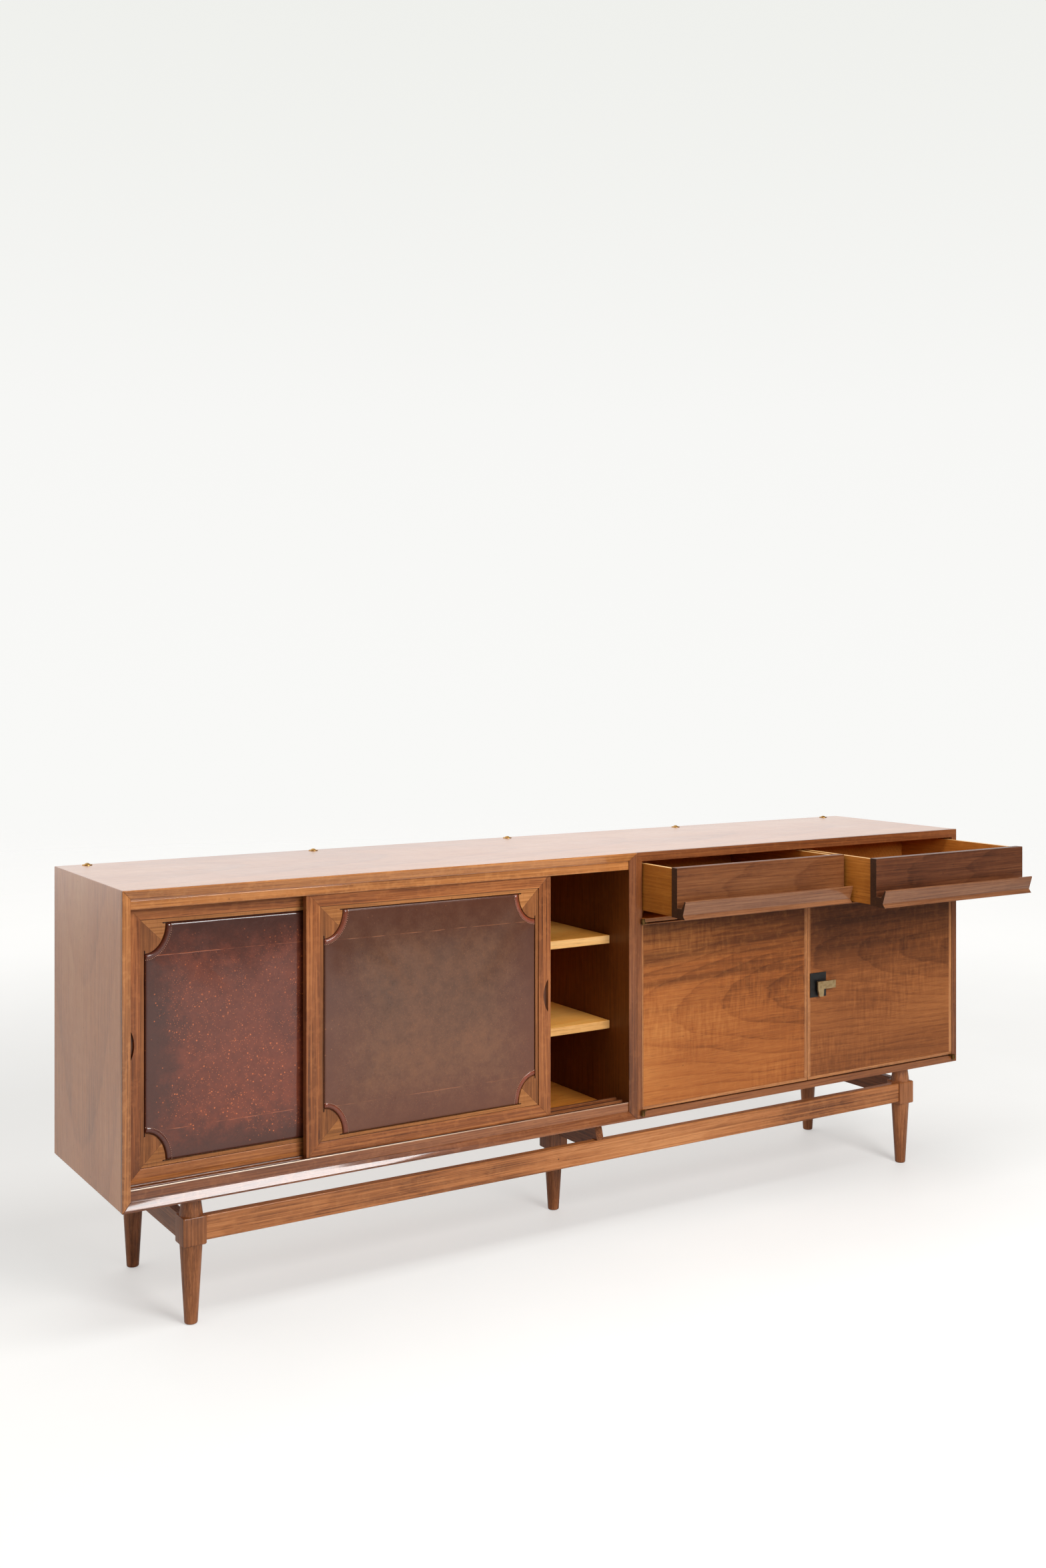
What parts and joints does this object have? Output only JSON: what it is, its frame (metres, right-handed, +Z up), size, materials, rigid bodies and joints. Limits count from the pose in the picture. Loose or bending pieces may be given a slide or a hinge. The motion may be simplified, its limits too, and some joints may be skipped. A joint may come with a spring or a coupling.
{
  "type": "sideboard buffet",
  "caption": "Long low wooden sideboard with leather-panelled sliding doors at one end, drawers over hinged doors at the other, on a turned-leg frame.",
  "frame": {"origin": "on the floor under the middle of the centre leg, which stands under the middle of the case", "axes": "+X along the length of the case towards the drawers, the front faces -Y, +Z up"},
  "size_m": [2.4, 0.77, 0.931],
  "materials": {
    "case_veneer": "satin figured veneer",
    "edge_moulding": "satin solid wood",
    "interior_wood": "satin honey-coloured wood",
    "slider_frame": "satin solid wood",
    "slider_frieze": "satin veneer",
    "door_veneer": "satin figured veneer",
    "drawer_veneer": "satin dark veneer",
    "drawer_wood": "pale satin wood",
    "base_wood": "satin solid wood",
    "panel_leather": "mottled dark red-brown, worn gloss",
    "fitting_brass": "aged satin",
    "pivot_brass": "aged satin",
    "latch_black": "black satin"
  },
  "bodies": {
    "case": {"top_panel": "case_veneer", "bottom_panel": "case_veneer", "left_side_panel": "case_veneer", "right_side_panel": "case_veneer", "left_bay_partition": "interior_wood", "right_bay_partition": "interior_wood", "back_panels": "interior_wood", "case_edge_lippings": "edge_moulding", "frame_moulding_bottom": "edge_moulding", "frame_moulding_top": "edge_moulding", "frame_moulding_left": "edge_moulding", "frame_moulding_right": "edge_moulding", "lower_door_track": "edge_moulding", "upper_door_track": "edge_moulding", "upper_shelf": "interior_wood", "lower_shelf": "interior_wood", "cupboard_shelf": "interior_wood", "shelf_pins": "pivot_brass", "drawer_dust_panel": "interior_wood", "drawer_centre_divider": "interior_wood", "drawer_runners": "drawer_wood", "brass_top_fittings": "fitting_brass", "front_left_leg": "base_wood", "front_right_leg": "base_wood", "back_left_leg": "base_wood", "back_right_leg": "base_wood", "centre_leg": "base_wood", "base_front_rail": "base_wood", "base_back_rail": "base_wood", "base_side_rails": "base_wood", "base_cross_bar": "base_wood", "left_door_pivots": "pivot_brass", "right_door_pivots": "pivot_brass"},
    "front_slider": {"front_slider_stiles": "slider_frame", "front_slider_rails": "slider_frame", "front_slider_frieze_board": "slider_frieze", "front_slider_leather_panel": "panel_leather"},
    "rear_slider": {"rear_slider_stiles": "slider_frame", "rear_slider_rails": "slider_frame", "rear_slider_frieze_board": "slider_frieze", "rear_slider_leather_panel": "panel_leather"},
    "left_door": {"left_door_panel": "door_veneer", "left_door_lippings": "edge_moulding", "left_door_hinge_leaves": "pivot_brass"},
    "right_door": {"right_door_panel": "door_veneer", "right_door_lippings": "edge_moulding", "right_door_hinge_leaves": "pivot_brass", "latch_plate": "latch_black"},
    "latch": {"latch_lever": "fitting_brass", "latch_spindle": "pivot_brass"},
    "left_drawer": {"left_drawer_front": "drawer_veneer", "left_drawer_pull": "edge_moulding", "left_drawer_box": "drawer_wood", "left_drawer_bottom": "drawer_wood"},
    "right_drawer": {"right_drawer_front": "drawer_veneer", "right_drawer_pull": "edge_moulding", "right_drawer_box": "drawer_wood", "right_drawer_bottom": "drawer_wood"}
  },
  "joints": [
    {"name": "front_slider_slide", "type": "slide", "parent": "case", "child": "front_slider", "axis": [1, 0, 0], "range_m": [-0.394, 0.224]},
    {"name": "rear_slider_slide", "type": "slide", "parent": "case", "child": "rear_slider", "axis": [1, 0, 0], "range_m": [0, 0.617]},
    {"name": "left_drawer_slide", "type": "slide", "parent": "case", "child": "left_drawer", "axis": [0, -1, 0], "range_m": [-0.138, 0.212]},
    {"name": "right_drawer_slide", "type": "slide", "parent": "case", "child": "right_drawer", "axis": [0, -1, 0], "range_m": [-0.251, 0.099]},
    {"name": "left_door_hinge", "type": "hinge", "parent": "case", "child": "left_door", "pos_m": [0.1005, -0.248, 0.5], "axis": [0, 0, -1], "range_deg": [0, 110]},
    {"name": "right_door_hinge", "type": "hinge", "parent": "case", "child": "right_door", "pos_m": [1.1825, -0.248, 0.5], "axis": [0, 0, 1], "range_deg": [0, 110]},
    {"name": "latch_turn", "type": "hinge", "parent": "right_door", "child": "latch", "pos_m": [0.6775, -0.25, 0.5415], "axis": [0, 1, 0], "range_deg": [0, 90]}
  ]
}
